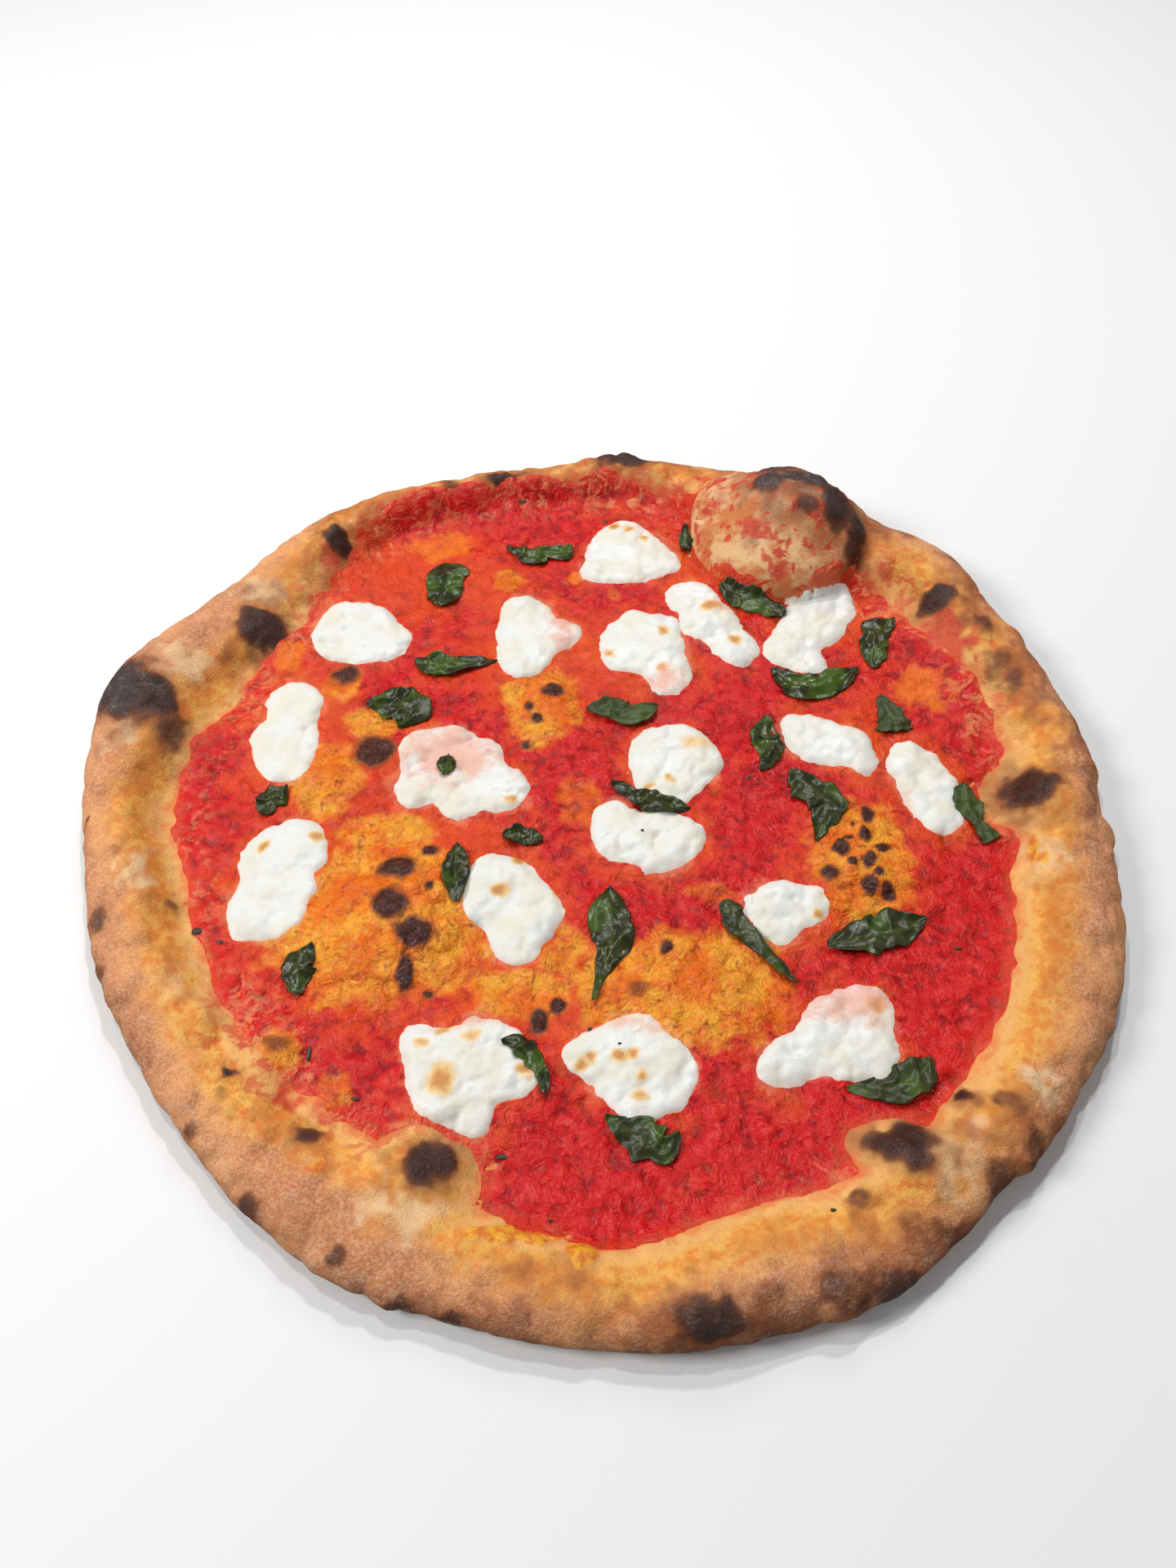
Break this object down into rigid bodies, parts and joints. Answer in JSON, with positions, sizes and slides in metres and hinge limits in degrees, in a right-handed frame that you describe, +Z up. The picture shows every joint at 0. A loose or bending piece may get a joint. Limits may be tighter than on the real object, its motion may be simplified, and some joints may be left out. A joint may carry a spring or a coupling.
{
  "type": "margherita pizza",
  "caption": "Whole wood-fired margherita pizza with a puffed, charred rim, tomato sauce, melted mozzarella pieces and wilted basil leaves.",
  "frame": {"origin": "middle of the footprint's bounding box, on the plane the pizza lies on", "axes": "+Z up; +Y away from the viewer of the picture; +X to the viewer's right, towards the side with the single large dough bubble at the back"},
  "size_m": [0.3192, 0.3102, 0.0358],
  "materials": {
    "baked_dough": "dry, floury baked dough",
    "tomato": "wet tomato sauce with oil",
    "cheese": "satin melted mozzarella",
    "leaf_green": "wilted, oily basil"
  },
  "bodies": {
    "root": {"crust": "baked_dough", "sauce": "tomato", "mozzarella_01": "cheese", "mozzarella_02": "cheese", "mozzarella_03": "cheese", "mozzarella_04": "cheese", "mozzarella_05": "cheese", "mozzarella_06": "cheese", "mozzarella_07": "cheese", "mozzarella_08": "cheese", "mozzarella_09": "cheese", "mozzarella_10": "cheese", "mozzarella_11": "cheese", "mozzarella_12": "cheese", "mozzarella_13": "cheese", "mozzarella_14": "cheese", "mozzarella_15": "cheese", "mozzarella_16": "cheese", "mozzarella_17": "cheese", "mozzarella_18": "cheese", "basil_01": "leaf_green", "basil_02": "leaf_green", "basil_03": "leaf_green", "basil_04": "leaf_green", "basil_05": "leaf_green", "basil_06": "leaf_green", "basil_07": "leaf_green", "basil_08": "leaf_green", "basil_09": "leaf_green", "basil_10": "leaf_green", "basil_11": "leaf_green", "basil_12": "leaf_green", "basil_13": "leaf_green", "basil_14": "leaf_green", "basil_15": "leaf_green", "basil_16": "leaf_green", "basil_17": "leaf_green", "basil_18": "leaf_green", "basil_19": "leaf_green", "basil_20": "leaf_green", "basil_21": "leaf_green", "basil_22": "leaf_green", "basil_23": "leaf_green", "basil_24": "leaf_green", "basil_25": "leaf_green"}
  },
  "joints": []
}
